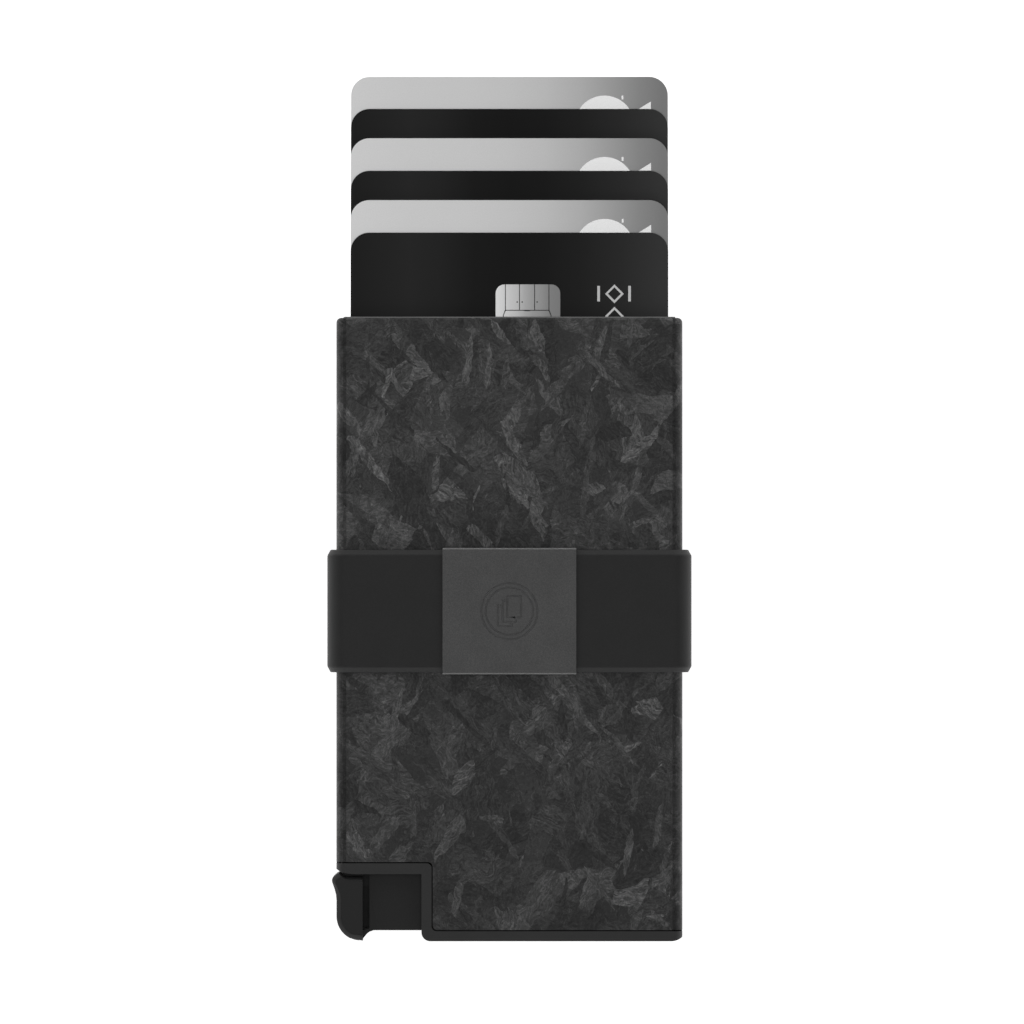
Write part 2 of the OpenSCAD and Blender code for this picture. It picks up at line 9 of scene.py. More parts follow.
import bmesh
import bpy
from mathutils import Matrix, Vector


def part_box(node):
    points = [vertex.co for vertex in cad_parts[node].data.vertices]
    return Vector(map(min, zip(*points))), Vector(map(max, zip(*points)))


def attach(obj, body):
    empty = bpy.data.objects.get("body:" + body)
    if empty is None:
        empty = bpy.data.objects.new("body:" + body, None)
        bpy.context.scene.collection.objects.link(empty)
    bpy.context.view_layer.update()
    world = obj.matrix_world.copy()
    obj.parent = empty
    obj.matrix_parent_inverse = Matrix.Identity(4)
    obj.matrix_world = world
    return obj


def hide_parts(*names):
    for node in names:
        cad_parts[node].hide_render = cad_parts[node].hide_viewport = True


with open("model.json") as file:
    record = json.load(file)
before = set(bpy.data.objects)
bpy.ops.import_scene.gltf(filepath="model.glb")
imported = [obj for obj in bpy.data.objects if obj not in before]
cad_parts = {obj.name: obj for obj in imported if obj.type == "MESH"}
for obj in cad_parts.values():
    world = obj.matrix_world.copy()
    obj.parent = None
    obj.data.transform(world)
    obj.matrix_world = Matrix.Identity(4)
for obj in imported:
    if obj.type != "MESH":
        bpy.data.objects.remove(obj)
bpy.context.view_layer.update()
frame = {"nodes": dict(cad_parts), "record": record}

MM = 0.001
NODES = frame["nodes"]
BODY_OF = {n: b for b, ns in frame["record"]["behaviour"]["bodies"].items() for n in ns}
SLOT_OF = {s["node"]: s["material_slot"] for s in frame["record"]["subparts"]}


def box_mm(node):
    """Lowest and highest corner of a CAD node, in millimetres."""
    low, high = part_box(node)
    return low / MM, high / MM


# ---------- camera, floor and light ----------

# Width and middle of the view at the cards' level, and the camera's height above that level
VIEW_WIDTH = 174.26
VIEW_CENTRE = (0.44, 16.82)
CAMERA_HEIGHT = 1600.0
SENSOR = 36.0
# Overhead light, in metres and watts
SOFTBOX_AT = (-0.02, 0.02, 1.2)
SOFTBOX_AIM = (0.0, 0.015, 0.0)
SOFTBOX_SIZE = (0.75, 0.75)
SOFTBOX_POWER = 1.56
FLOOR_SIZE = 3.0
# Gap under the wallet, so that its back and the floor don't share a plane
FLOOR_DROP = 0.05
# The paper gives off some light of its own, which keeps it white right up to the wallet
FLOOR_GLOW = 0.83


def make_camera():
    """Long lens straight above the wallet, level with the middle of the view."""
    data = bpy.data.cameras.new("camera")
    data.sensor_width = SENSOR
    data.lens = SENSOR * CAMERA_HEIGHT / VIEW_WIDTH
    data.clip_start = 0.05
    data.clip_end = 20
    cam = bpy.data.objects.new("camera", data)
    level = sum(c.z for c in box_mm("card_3")) / 2
    cam.location = Vector((*VIEW_CENTRE, level + CAMERA_HEIGHT)) * MM
    bpy.context.scene.collection.objects.link(cam)
    bpy.context.scene.camera = cam


def area_light(name, at, towards, size, power):
    """A rectangular light that the camera doesn't see; at, towards and size are in metres."""
    data = bpy.data.lights.new(name, "AREA")
    data.shape = "RECTANGLE"
    data.size, data.size_y = size
    data.energy = power
    light = bpy.data.objects.new(name, data)
    light.location = at
    light.rotation_mode = "QUATERNION"
    light.rotation_quaternion = (Vector(towards) - Vector(at)).to_track_quat("-Z", "Y")
    light.visible_camera = False
    bpy.context.scene.collection.objects.link(light)


# Brightness of the surround from the horizon (0) to straight overhead (1)
WORLD_STOPS = [
    (0.0, 0.85), (0.15, 0.85), (0.28, 0.92), (0.50, 0.90), (0.62, 0.50), (0.74, 0.16),
    (0.84, 0.06), (1.0, 0.06)]
# Strength of the surround towards the sides, and what is added to it towards the two ends
SIDE_STRENGTH = 0.70
END_GAIN = 0.50


def make_world():
    """Studio surround: dim overhead, bright towards the horizon."""
    world = bpy.data.worlds.new("studio")
    bpy.context.scene.world = world
    world.use_nodes = True
    tree = world.node_tree
    tree.nodes.clear()
    coords = tree.nodes.new("ShaderNodeTexCoord")
    split = tree.nodes.new("ShaderNodeSeparateXYZ")
    ramp = tree.nodes.new("ShaderNodeValToRGB")
    shade = tree.nodes.new("ShaderNodeBackground")
    out = tree.nodes.new("ShaderNodeOutputWorld")
    stops = ramp.color_ramp.elements
    while len(stops) < len(WORLD_STOPS):
        stops.new(0.5)
    for stop, (position, value) in zip(stops, WORLD_STOPS):
        stop.position, stop.color = position, (value, value, value, 1)
    tree.links.new(coords.outputs["Generated"], split.inputs[0])
    tree.links.new(split.outputs["Z"], ramp.inputs[0])
    tree.links.new(ramp.outputs["Color"], shade.inputs["Color"])
    # The lights at the two ends (along Y) are stronger than those at the sides
    ends = tree.nodes.new("ShaderNodeMath")
    ends.operation = "ABSOLUTE"
    tree.links.new(split.outputs["Y"], ends.inputs[0])
    strength = ends.outputs[0]
    for operation, amount in (("MULTIPLY", END_GAIN), ("ADD", SIDE_STRENGTH)):
        step = tree.nodes.new("ShaderNodeMath")
        step.operation = operation
        step.inputs[1].default_value = amount
        tree.links.new(strength, step.inputs[0])
        strength = step.outputs[0]
    tree.links.new(strength, shade.inputs["Strength"])
    tree.links.new(shade.outputs[0], out.inputs[0])


def make_floor():
    """Sheet of plain white paper."""
    bpy.ops.mesh.primitive_plane_add(size=FLOOR_SIZE)
    floor = bpy.context.object
    floor.name = "floor"
    floor.location.z = -FLOOR_DROP * MM
    g = Graph("floor_paper")
    grain = g.noise(g.mm(), 0.4, 3)
    g.finish(g.ramp(grain, [(0, 0.86), (1, 0.88)]), 0.9, specular=0.1, glow=FLOOR_GLOW)
    floor.data.materials.append(g.mat)


# ---------- materials ----------


class Graph:
    """Short ways to write a material's nodes. Lengths in textures are in millimetres."""

    def __init__(self, name):
        self.mat = bpy.data.materials.new(name)
        self.mat.use_nodes = True
        self.tree = self.mat.node_tree
        self.tree.nodes.clear()

    def add(self, kind, props=None, **inputs):
        """A node with its properties and inputs; i0, i1 ... stand for the inputs' numbers."""
        node = self.tree.nodes.new("ShaderNode" + kind)
        for key, value in (props or {}).items():
            setattr(node, key, value)
        for key, value in inputs.items():
            target = node.inputs[int(key[1:]) if key[0] == "i" and key[1:].isdigit() else key]
            if isinstance(value, bpy.types.NodeSocket):
                self.tree.links.new(value, target)
            else:
                target.default_value = value
        return node

    def mm(self):
        """Object coordinates in millimetres."""
        coords = self.add("TexCoord")
        return self.scale(coords.outputs["Object"], (1000, 1000, 1000))

    def scale(self, vector, factors):
        """A vector or colour times another."""
        return self.add(
            "VectorMath", {"operation": "MULTIPLY"}, i0=vector, i1=factors).outputs[0]

    def shift(self, vector, offset):
        """A vector plus another."""
        return self.add("VectorMath", {"operation": "ADD"}, i0=vector, i1=offset).outputs[0]

    def turn(self, vector, degrees):
        """The coordinates turned about Z."""
        node = self.add(
            "VectorRotate", {"rotation_type": "Z_AXIS"},
            Vector=vector, Angle=math.radians(degrees))
        return node.outputs[0]

    def math(self, operation, a, b=0.0, clamp=False):
        """Two numbers put together by one of Blender's Math operations."""
        return self.add(
            "Math", {"operation": operation, "use_clamp": clamp}, i0=a, i1=b).outputs[0]

    def noise(self, vector, size, detail=2.0, rough=0.5):
        """Noise whose features are about size across."""
        return self.add(
            "TexNoise", None, Vector=vector, Scale=1 / size, Detail=detail,
            Roughness=rough).outputs["Fac"]

    def noise_vector(self, vector, size, detail=2.0):
        """Noise with three independent parts."""
        return self.add(
            "TexNoise", None, Vector=vector, Scale=1 / size, Detail=detail).outputs["Color"]

    def warp(self, vector, size, reach, detail=2.0):
        """Moves the coordinates about by up to half of reach."""
        wander = self.shift(self.noise_vector(vector, size, detail), (-0.5, -0.5, -0.5))
        return self.shift(vector, self.scale(wander, (reach, reach, reach)))

    def ramp(self, fac, stops):
        """Grey or colour ramp; a stop is (position, grey) or (position, (r, g, b))."""
        node = self.add("ValToRGB", None, Fac=fac)
        elements = node.color_ramp.elements
        while len(elements) < len(stops):
            elements.new(0.5)
        for element, (position, value) in zip(elements, stops):
            rgb = value if isinstance(value, tuple) else (value, value, value)
            element.position = position
            element.color = (*rgb, 1)
        return node.outputs["Color"]

    def mix(self, fac, a, b, mode="MIX"):
        """Two colours mixed by a factor."""
        node = self.add("Mix", {"data_type": "RGBA", "blend_type": mode}, i0=fac)
        for index, value in ((6, a), (7, b)):
            if isinstance(value, bpy.types.NodeSocket):
                self.tree.links.new(value, node.inputs[index])
            else:
                rgb = value if isinstance(value, tuple) else (value, value, value)
                node.inputs[index].default_value = (*rgb, 1)
        return node.outputs[2]

    def across(self, vector, stops):
        """Grey that changes along X; a stop is (millimetres, grey)."""
        first, last = stops[0][0], stops[-1][0]
        x = self.add("SeparateXYZ", None, i0=vector).outputs[0]
        place = self.math("DIVIDE", self.math("SUBTRACT", x, first), last - first, clamp=True)
        return self.ramp(place, [((at - first) / (last - first), grey) for at, grey in stops])

    def painted_highlight(self, colour, vector, start, end, gain):
        """Painted highlight: brightens a colour by gain from start to end millimetres off the XZ
        plane.
        """
        y = self.math("ABSOLUTE", self.add("SeparateXYZ", None, i0=vector).outputs[1])
        place = self.math("DIVIDE", self.math("SUBTRACT", y, start), end - start, clamp=True)
        return self.scale(colour, self.fit(place, 1.0, gain))

    def fit(self, value, low, high):
        """Maps 0..1 to low..high."""
        return self.add(
            "MapRange", None, i0=value, i3=low, i4=high).outputs[0]

    def bump(self, height, depth):
        """Bump from a 0..1 height that stands for depth millimetres."""
        return self.add(
            "Bump", None, Height=height, Strength=1.0, Distance=depth * MM).outputs[0]

    def finish(self, colour, rough, normal=None, metallic=0.0, specular=0.5, sheen=0.0, glow=0.0):
        """Closes the graph with its shader and gives back the material."""
        shader = self.add("BsdfPrincipled", None)
        for name, value in (
            ("Base Color", colour), ("Roughness", rough), ("Normal", normal),
            ("Metallic", metallic), ("Specular IOR Level", specular), ("Sheen Weight", sheen),
            ("Emission Strength", glow),
        ):
            if value is None:
                continue
            if isinstance(value, bpy.types.NodeSocket):
                self.tree.links.new(value, shader.inputs[name])
            elif name == "Base Color":
                rgb = value if isinstance(value, tuple) else (value, value, value)
                shader.inputs[name].default_value = (*rgb, 1)
            else:
                shader.inputs[name].default_value = value
        out = self.add("OutputMaterial")
        self.tree.links.new(shader.outputs[0], out.inputs[0])
        return self.mat


# Each layer of carbon chips: direction in degrees, chip width and length, share shown, seed
CARBON_LAYERS = [
    (24, 7.0, 10.0, 0.60, 1), (112, 5.0, 12.0, 0.45, 2), (66, 6.0, 9.0, 0.40, 3),
    (152, 3.4, 11.0, 0.36, 4), (40, 2.2, 9.0, 0.30, 5), (95, 4.2, 6.5, 0.28, 6),
    (135, 1.4, 8.0, 0.20, 7), (8, 1.1, 6.0, 0.16, 8),
]


# Fine creases over the chips: size, wander, half width, brightness and seed
CARBON_CREASES = [(3.2, 4.0, 0.016, 0.16, 3), (1.7, 2.2, 0.03, 0.10, 9)]
# Layers up to this seed have dark seams between their chips, this much darker
LAST_SEAM_SEED = 4
SEAM_DARKENING = 0.12
# How far each chip's fibres may turn from its layer's direction, in radians
CHIP_SKEW = 0.6
# Painted shade: the sleeve's tone drops by this towards its closed end, over this stretch of Y in
# millimetres
CARBON_PAINTED_SHADE = -0.045
SHADE_FROM, SHADE_OVER = 45.0, 60.0
CARBON_RAMP = [(0.0, 0.009), (0.18, 0.030), (0.42, 0.075), (0.68, 0.163), (1.0, 0.39)]


def carbon_layer(g, tone, bent, crumple, layer):
    """Lays one layer of chips over a tone."""
    degrees, wide, long, share, seed = layer
    along = g.shift(g.turn(bent, degrees), (seed * 31.7, seed * 17.3, seed * 11.9))
    chips = g.scale(along, (1 / wide, 1 / long, 1 / wide))
    cell = g.add("TexVoronoi", None, Vector=chips, Scale=1.0, Randomness=0.9)
    pick = g.add("SeparateColor", None, Color=cell.outputs["Color"])
    show, glint, skew = (pick.outputs[c] for c in ("Red", "Green", "Blue"))
    mask = g.math("MULTIPLY", g.math("SUBTRACT", show, 1 - share), 40.0, clamp=True)
    mask = g.math("MULTIPLY", mask, g.fit(skew, 0.45, 0.95))
    if seed <= LAST_SEAM_SEED:
        border = g.add(
            "TexVoronoi", {"feature": "DISTANCE_TO_EDGE"}, Vector=chips, Scale=1.0,
            Randomness=0.9)
        seam = g.ramp(border.outputs["Distance"], [(0.0, 1.0), (0.035, 0.0)])
        dark = g.math("MULTIPLY", g.math("MULTIPLY", seam, mask), SEAM_DARKENING)
        tone = g.math("SUBTRACT", tone, dark)
    turned = math.radians(degrees)
    lie = g.add(
        "VectorRotate", {"rotation_type": "Z_AXIS"}, Vector=crumple,
        Angle=g.fit(skew, turned - CHIP_SKEW, turned + CHIP_SKEW))
    fibre = g.noise(g.scale(lie.outputs[0], (2.9, 0.42, 2.9)), 1.0, 3, 0.62)
    shine = g.math("POWER", glint, 1.6)
    strands = g.math("MULTIPLY", g.math("SUBTRACT", fibre, 0.5), g.fit(shine, 0.75, 1.7))
    level = g.math("ADD", g.math("ADD", g.math("MULTIPLY", shine, 0.42), strands), 0.16)
    return g.add("Mix", {"data_type": "FLOAT"}, i0=mask, i2=tone, i3=level).outputs[0]


def carbon_crease(g, tone, flat, crease):
    """Adds thin bright creases in patches."""
    size, reach, thin, gain, seed = crease
    wandering = g.warp(g.shift(flat, (seed * 7.1, seed * 3.3, 0)), size * 1.3, reach)
    ridge = g.math("ABSOLUTE", g.math("SUBTRACT", g.noise(wandering, size, 3, 0.6), 0.5))
    line = g.ramp(ridge, [(0.0, 1.0), (thin, 0.0)])
    patch = g.ramp(
        g.noise(g.shift(flat, (seed * 1.7, 0, 0)), 4.0, 2), [(0.46, 0.0), (0.60, 1.0)])
    return g.math("ADD", tone, g.math("MULTIPLY", g.math("MULTIPLY", line, patch), gain))


def forged_carbon():
    """Chopped carbon tow: overlapping chips, each with its own tone and fibre direction."""
    g = Graph("forged_carbon")
    flat = g.mm()
    bent = g.warp(g.warp(flat, 7.0, 3.2), 1.1, 0.55)
    crumple = g.warp(flat, 3.2, 3.4, 3)
    tone = g.fit(g.noise(flat, 11.0, 2), 0.10, 0.40)
    for layer in CARBON_LAYERS:
        tone = carbon_layer(g, tone, bent, crumple, layer)
    for crease in CARBON_CREASES:
        tone = carbon_crease(g, tone, flat, crease)
    # Painted shade: the sleeve gets darker towards its closed end
    y = g.add("SeparateXYZ", None, i0=flat).outputs[1]
    painted_shade = g.math("DIVIDE", g.math("ADD", y, SHADE_FROM), SHADE_OVER, clamp=True)
    tone = g.math("ADD", tone, g.fit(painted_shade, CARBON_PAINTED_SHADE, 0.0))
    speck = g.noise(flat, 0.30, 3, 0.7)
    tone = g.math("ADD", tone, g.math("MULTIPLY", g.math("SUBTRACT", speck, 0.5), 0.34))
    rough = g.fit(tone, 0.48, 0.34)
    return g.finish(g.ramp(tone, CARBON_RAMP), rough, g.bump(tone, 0.018), specular=0.33)


# Painted highlight along the long edges: millimetres off the XZ plane where it begins and where
# it is full, and how much brighter it is there
STRAP_PAINTED_HIGHLIGHT = (9.55, 9.7, 1.6)
PLATE_PAINTED_HIGHLIGHT = (10.42, 10.55, 1.8)


def moulded(name, dark, light, rough, grain=0.18, depth=0.012, specular=0.4, painted_highlight=None):
    """Moulded plastic or elastomer with fine spark-eroded grain, and a painted highlight along
    its edges when one is given.
    """
    g = Graph(name)
    at = g.mm()
    fine = g.noise(at, grain, 3, 0.6)
    broad = g.noise(at, 6.0, 2)
    both = g.math("ADD", g.math("MULTIPLY", fine, 0.6), g.math("MULTIPLY", broad, 0.4))
    colour = g.ramp(both, [(0.3, dark), (0.7, light)])
    # Painted highlight on the long edges, when one is given
    if painted_highlight:
        colour = g.painted_highlight(colour, at, *painted_highlight)
    return g.finish(
        colour, g.fit(broad, rough - 0.04, rough + 0.06), g.bump(fine, depth),
        specular=specular)


def blasted_plate():
    """Dark coated steel, bead blasted: fine bright and dark specks, and a painted highlight on
    the folds.
    """
    g = Graph("blasted_plate")
    at = g.mm()
    specks = g.noise(at, 0.16, 4, 0.75)
    broad = g.noise(at, 5.0, 2)
    both = g.math("ADD", g.math("MULTIPLY", specks, 0.85), g.math("MULTIPLY", broad, 0.15))
    colour = g.ramp(both, [(0.30, 0.107), (0.50, 0.147), (0.70, 0.205)])
    # Painted highlight on the plate's folds
    colour = g.painted_highlight(colour, at, *PLATE_PAINTED_HIGHLIGHT)
    return g.finish(
        colour, g.fit(specks, 0.50, 0.62), g.bump(specks, 0.014), metallic=1.0)


def metal_with_painted_reflection(name, stops, rough, along, contrast=0.08, depth=0.003):
    """Satin metal foil with a painted reflection: its tone changes across the card."""
    g = Graph(name)
    at = g.mm()
    grain = g.noise(g.scale(at, tuple(1 / a for a in along)), 1.0, 3, 0.65)
    # Painted reflection: the tone changes across the card
    colour = g.mix(
        1.0, g.across(at, stops), g.ramp(grain, [(0.3, 1 - contrast), (0.7, 1.0)]), "MULTIPLY")
    return g.finish(
        colour, g.fit(grain, rough - 0.03, rough + 0.05), g.bump(grain, depth), metallic=1.0)


def black_with_painted_reflection(name, stops, rough=0.34, specular=0.1):
    """Satin black print with a painted reflection: a slow change of tone across the card."""
    g = Graph(name)
    at = g.mm()
    grain = g.noise(at, 0.10, 3, 0.6)
    # Painted reflection: the tone changes across the card
    colour = g.mix(
        1.0, g.across(at, stops), g.ramp(grain, [(0.3, 0.9), (0.7, 1.0)]), "MULTIPLY")
    return g.finish(
        colour, g.fit(grain, rough - 0.03, rough + 0.05), g.bump(grain, 0.002),
        specular=specular)


# Painted reflection: tone across the cards and the chip, as (millimetres from the middle, grey)
SILVER_PAINTED_REFLECTION = [
    (-26, 0.94), (-17, 0.90), (-7, 0.88), (0, 0.84), (6, 0.78), (12, 0.66), (17, 0.52),
    (22, 0.38), (26, 0.30)]
BLACK_PAINTED_REFLECTION = [
    (-26, 0.019), (-17, 0.030), (-12, 0.025), (-6, 0.013), (0, 0.010), (6, 0.012), (12, 0.020),
    (19, 0.036), (26, 0.060)]
CHIP_PAINTED_REFLECTION = [
    (-2, 0.97), (-0.2, 0.82), (1.2, 0.72), (2.6, 0.56), (4.0, 0.45), (5.4, 0.40), (6.8, 0.31),
    (8.6, 0.28)]


def brushed(name, dark, light, rough, along=(0.05, 1.2, 0.05), depth=0.004, metallic=1.0):
    """Metal with fine brushing; along is the grain's size on X, Y and Z."""
    g = Graph(name)
    at = g.mm()
    grain = g.noise(g.scale(at, tuple(1 / a for a in along)), 1.0, 3, 0.6)
    broad = g.noise(at, 8.0, 2)
    both = g.math("ADD", g.math("MULTIPLY", grain, 0.75), g.math("MULTIPLY", broad, 0.25))
    colour = g.ramp(both, [(0.3, dark), (0.7, light)])
    return g.finish(
        colour, g.fit(grain, rough - 0.03, rough + 0.06), g.bump(grain, depth),
        metallic=metallic)


def felt():
    """Dark felt: two crossing layers of fibres."""
    g = Graph("felt")
    at = g.warp(g.mm(), 0.5, 0.6)
    fibre = g.noise(g.scale(at, (3, 12, 3)), 1.0, 4, 0.7)
    cross = g.noise(g.scale(g.turn(at, 55), (3, 12, 3)), 1.0, 4, 0.7)
    both = g.math("MAXIMUM", fibre, cross)
    colour = g.ramp(both, [(0.35, 0.018), (0.75, 0.09)])
    return g.finish(colour, 0.95, g.bump(both, 0.08), specular=0.1, sheen=0.3)


def printed(name, dark, light, rough=0.5):
    """Flat ink with a fine grain."""
    g = Graph(name)
    at = g.mm()
    dots = g.noise(at, 0.12, 3, 0.6)
    return g.finish(g.ramp(dots, [(0.3, dark), (0.7, light)]), rough, g.bump(dots, 0.003))


MATERIALS = {
    "forged_carbon": forged_carbon(),
    "anodised_liner": brushed("anodised_liner", 0.21, 0.31, 0.42, (0.3, 0.05, 0.3), 0.004),
    "cap_plastic": moulded("cap_plastic", 0.035, 0.048, 0.50, specular=0.3),
    "trigger_plastic": moulded("trigger_plastic", 0.017, 0.024, 0.45, specular=0.3),
    "arm_plastic": moulded("arm_plastic", 0.05, 0.07, 0.5),
    "steel": brushed("steel", 0.48, 0.62, 0.28, (0.08, 0.08, 0.8)),
    "felt": felt(),
    "strap_rubber": moulded("strap_rubber", 0.025, 0.034, 0.50, 0.22, 0.008, 0.26, STRAP_PAINTED_HIGHLIGHT),
    "plate_steel": blasted_plate(),
    # The cards' and the chip's tone across them is a painted reflection
    "card_black": black_with_painted_reflection("card_black", BLACK_PAINTED_REFLECTION),
    "card_silver": metal_with_painted_reflection("card_silver", SILVER_PAINTED_REFLECTION, 0.36, (0.12, 0.12, 0.12)),
    "chip_metal": metal_with_painted_reflection("chip_metal", CHIP_PAINTED_REFLECTION, 0.34, (0.06, 0.9, 0.06)),
    "print_white": brushed("print_white", 0.93, 1.0, 0.20, (0.1, 0.1, 0.1), 0.001, 0.75),
    "print_grey": printed("print_grey", 0.24, 0.30),
    "print_silver": brushed("print_silver", 0.62, 0.74, 0.35, (0.1, 0.1, 0.1), 0.003),
    "chip_gap": printed("chip_gap", 0.03, 0.05),
    "stripe_black": printed("stripe_black", 0.006, 0.009, 0.35),
}


# ---------- mesh helpers ----------


def mesh_object(name, verts, faces, node, slot=None, material=None, replaces=()):
    """A piece from millimetre vertices that rides with a CAD node's body."""
    mesh = bpy.data.meshes.new(name)
    mesh.from_pydata([Vector(v) * MM for v in verts], [], faces)
    mesh.validate()
    return dress(name, mesh, node, slot, material, replaces)


def dress(name, mesh, node, slot=None, material=None, replaces=()):
    """Makes a piece of a mesh: its body, its material (the slot's unless another is given) and
    the nodes it replaces.
    """
    obj = bpy.data.objects.new(name, mesh)
    bpy.context.scene.collection.objects.link(obj)
    slot = slot or SLOT_OF[node]
    mesh.materials.clear()
    mesh.materials.append(MATERIALS[material or slot])
    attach(obj, BODY_OF[node])
    if replaces:
        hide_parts(*replaces)
    return obj


def smooth(obj, degrees=32):
    """Smooth shading with sharp edges above an angle."""
    for p in obj.data.polygons:
        p.use_smooth = True
    obj.data.set_sharp_from_angle(angle=math.radians(degrees))


def bevel(obj, width, segments=2, degrees=34):
    """Rounds every edge sharper than an angle, and keeps the flat faces' shading flat."""
    mod = obj.modifiers.new("edges", "BEVEL")
    mod.width = width * MM
    mod.segments = segments
    mod.limit_method = "ANGLE"
    mod.angle_limit = math.radians(degrees)
    mod.use_clamp_overlap = True
    mod.miter_outer = "MITER_ARC"
    for p in obj.data.polygons:
        p.use_smooth = True
    weigh = obj.modifiers.new("normals", "WEIGHTED_NORMAL")
    weigh.mode = "FACE_AREA_WITH_ANGLE"
    weigh.weight = 100
    return obj


def carved(mesh, cuts=(), adds=()):
    """A mesh less and plus some solids, each given as (verts, faces) in millimetres."""
    scene = bpy.context.scene.collection
    work = bpy.data.objects.new("work", mesh)
    scene.objects.link(work)
    tools = []
    steps = [("DIFFERENCE", c) for c in cuts] + [("UNION", a) for a in adds]
    for operation, (verts, faces) in steps:
        tool_mesh = bpy.data.meshes.new("tool")
        tool_mesh.from_pydata([Vector(v) * MM for v in verts], [], faces)
        tool = bpy.data.objects.new("tool", tool_mesh)
        scene.objects.link(tool)
        tools.append(tool)
        mod = work.modifiers.new("step", "BOOLEAN")
        mod.operation = operation
        mod.solver = "EXACT"
        mod.object = tool
    graph = bpy.context.evaluated_depsgraph_get()
    result = bpy.data.meshes.new_from_object(work.evaluated_get(graph))
    bpy.data.objects.remove(work)
    for tool in tools:
        tool_mesh = tool.data
        bpy.data.objects.remove(tool)
        bpy.data.meshes.remove(tool_mesh)
    return result


# Vertices closer than this are one, in metres; faces within this angle are one flat face
SAME_PLACE = 2e-7
SAME_PLANE = 0.4


def joined_up(mesh, angle=None):
    """Merges a mesh's doubled vertices and, given an angle, its flat neighbours."""
    work = bmesh.new()
    work.from_mesh(mesh)
    bmesh.ops.remove_doubles(work, verts=work.verts, dist=SAME_PLACE)
    if angle:
        bmesh.ops.dissolve_limit(
            work, angle_limit=math.radians(angle), verts=work.verts, edges=work.edges)
    work.to_mesh(mesh)
    work.free()


def refined(node, width, segments=2, degrees=34, adjust=None, cuts=(), adds=()):
    """A CAD node's shape with its flat faces joined up and its edges rounded.

    adjust takes a vertex's place in millimetres and returns its new place.
    """
    mesh = NODES[node].data.copy()
    joined_up(mesh)
    if cuts or adds:
        mesh = carved(mesh, cuts, adds)
    joined_up(mesh, SAME_PLANE)
    if adjust:
        for v in mesh.vertices:
            v.co = Vector(adjust(v.co / MM)) * MM
    obj = dress(node + "_shaped", mesh, node, replaces=(node,))
    return bevel(obj, width, segments, degrees)


# ---------- outlines and solids, all in millimetres ----------


def arc(cx, cy, r, start, end, steps):
    """Points on an arc, angles in degrees."""
    out = []
    for i in range(steps + 1):
        a = math.radians(start + (end - start) * i / steps)
        out.append((cx + r * math.cos(a), cy + r * math.sin(a)))
    return out


def rectangle(left, right, low, high):
    return [(left, low), (right, low), (right, high), (left, high)]


def slab(outlines, low, high):
    """Closed outlines, each a list of (x, y), extruded from low to high: (verts, faces)."""
    verts, faces = [], []
    for outline in outlines:
        n, at = len(outline), len(verts)
        verts += [(x, y, low) for x, y in outline] + [(x, y, high) for x, y in outline]
        faces.append(tuple(at + i for i in reversed(range(n))))
        faces.append(tuple(at + n + i for i in range(n)))
        faces += [(at + i, at + (i + 1) % n, at + n + (i + 1) % n, at + n + i) for i in range(n)]
    return verts, faces


def loft(outlines):
    """Closed outlines with equal counts, each (points, level), joined in order."""
    n = len(outlines[0][0])
    verts = [(x, y, z) for points, z in outlines for x, y in points]
    faces = [tuple(reversed(range(n)))]
    for k in range(len(outlines) - 1):
        at = k * n
        faces += [(at + i, at + (i + 1) % n, at + n + (i + 1) % n, at + n + i) for i in range(n)]
    faces.append(tuple(len(verts) - n + i for i in range(n)))
    return verts, faces


# ---------- the wallet's parts ----------

CARD_COUNT = 6

# The corner of the sleeve's notch, the gap at the end cap and the sleeve's middle level
NOTCH = (-13.22, -42.83)
PARTING = 0.20
SLEEVE_MID = 5.65
# How far the notch's corner is rounded, with room to spare
CORNER_REACH = 1.4
# Everything above this is near the mouth
UPPER_END = 30.0
# How much more of the liner than of the shell shows at the mouth
LINER_LIP = 0.2
# Place, depth and half width of the grooves along the side rims
RIM_LINE = 27.95
RIM_DEPTH = 0.26
RIM_HALF = 0.24


def opened_parting(co):
    """Draws the sleeve back from the end cap, which leaves a fine parting line."""
    x, y, z = co
    if y > UPPER_END:
        return (x, y - LINER_LIP / 2, z)
    if y > NOTCH[1] + 0.01:
        return co
    gap = PARTING if z > SLEEVE_MID else PARTING / 2
    if abs(x - NOTCH[0]) < CORNER_REACH:
        x += gap
    return (x, y + gap, z)


def liner_lip(co):
    """Lets the liner stand a little proud of the mouth and hides it at the parting line."""
    x, y, z = co
    if y > UPPER_END:
        return (x, y + LINER_LIP / 2, z)
    if y > NOTCH[1] + 0.3 or z < SLEEVE_MID:
        return co
    if abs(x - NOTCH[0]) < CORNER_REACH:
        x += 2 * PARTING
    return (x, y + 2 * PARTING, z)


# The CAD plate's outer fold radius, and the visual one's
FOLD_RADII = (0.7, 0.36)


def tight_fold(co):
    """Tightens the plate's folds from the first radius to the second."""
    x, y, z = co
    old, new = FOLD_RADII
    low, high = box_mm("strap_plate")
    side = 1 if y > 0 else -1
    centre = Vector((side * (high.y - old), high.z - old))
    away = Vector((y, z)) - centre
    on_fold = side * away.x > -0.01 and away.y > -0.01 and abs(away.length - old) < 0.02
    if not on_fold:
        return co
    away *= new / away.length
    return (x, side * (high.y - new) + away.x, high.z - new + away.y)


def rim_grooves():
    """Tools for the fine grooves that set the side edges off from both faces."""
    low, high = box_mm("carbon_shell")
    tools = []
    for middle in (-RIM_LINE, RIM_LINE):
        outline = rectangle(middle - RIM_HALF, middle + RIM_HALF, low.y - 1, high.y + 1)
        tools.append(slab([outline], high.z - RIM_DEPTH, high.z + 1))
        tools.append(slab([outline], low.z - 1, low.z + RIM_DEPTH))
    return tools


